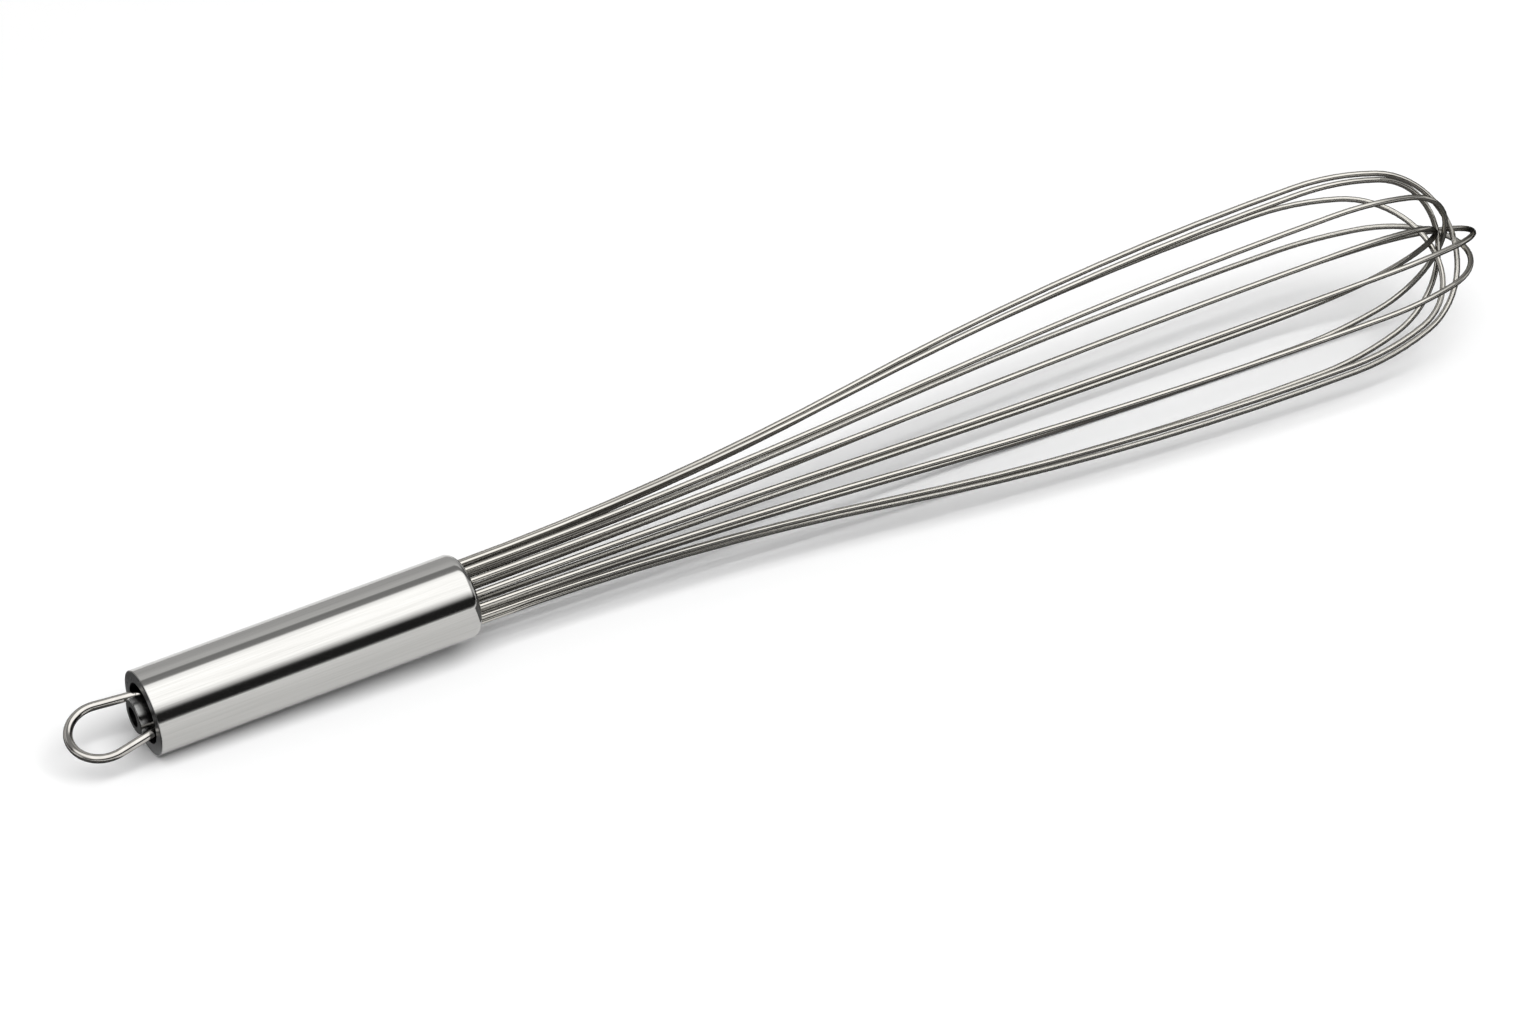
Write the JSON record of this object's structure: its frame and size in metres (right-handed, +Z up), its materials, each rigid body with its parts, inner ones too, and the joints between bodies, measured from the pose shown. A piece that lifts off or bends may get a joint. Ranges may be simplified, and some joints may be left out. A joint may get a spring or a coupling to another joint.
{
  "type": "whisk",
  "caption": "Long balloon whisk with sprung steel wire loops that cross at the tip, a plain steel tube handle and a swinging hanging loop in its sunk butt.",
  "frame": {"origin": "on the table under the middle of the whisk as it lies at rest, butt rim and two lowest wires on z = 0", "axes": "+X from the hanging loop to the tip, +Z up; the whisk's own axis rises 2.7 degrees towards the tip"},
  "size_m": [0.5213, 0.0678, 0.0679],
  "materials": {
    "satin_steel": "satin, fine lines along the tube",
    "cap_steel": "satin, darker in the recess",
    "polished_steel": "polished drawn wire",
    "plug_plastic": "matte",
    "filling_resin": "matte"
  },
  "bodies": {
    "whisk": {"handle_tube": "satin_steel", "butt_cap": "cap_steel", "loop_stud": "cap_steel", "wire_plug": "plug_plastic", "handle_filling": "filling_resin", "wire_1": "polished_steel", "wire_2": "polished_steel", "wire_3": "polished_steel", "wire_4": "polished_steel", "wire_5": "polished_steel", "wire_6": "polished_steel", "wire_7": "polished_steel"},
    "loop": {"hanging_loop": "polished_steel"}
  },
  "joints": [
    {"name": "loop_swing", "type": "hinge", "parent": "whisk", "child": "loop", "pos_m": [-0.23275, 0.00266, 0.01408], "axis": [-0.0107, 0.9744, 0.2247], "range_deg": [-31, 40]}
  ]
}
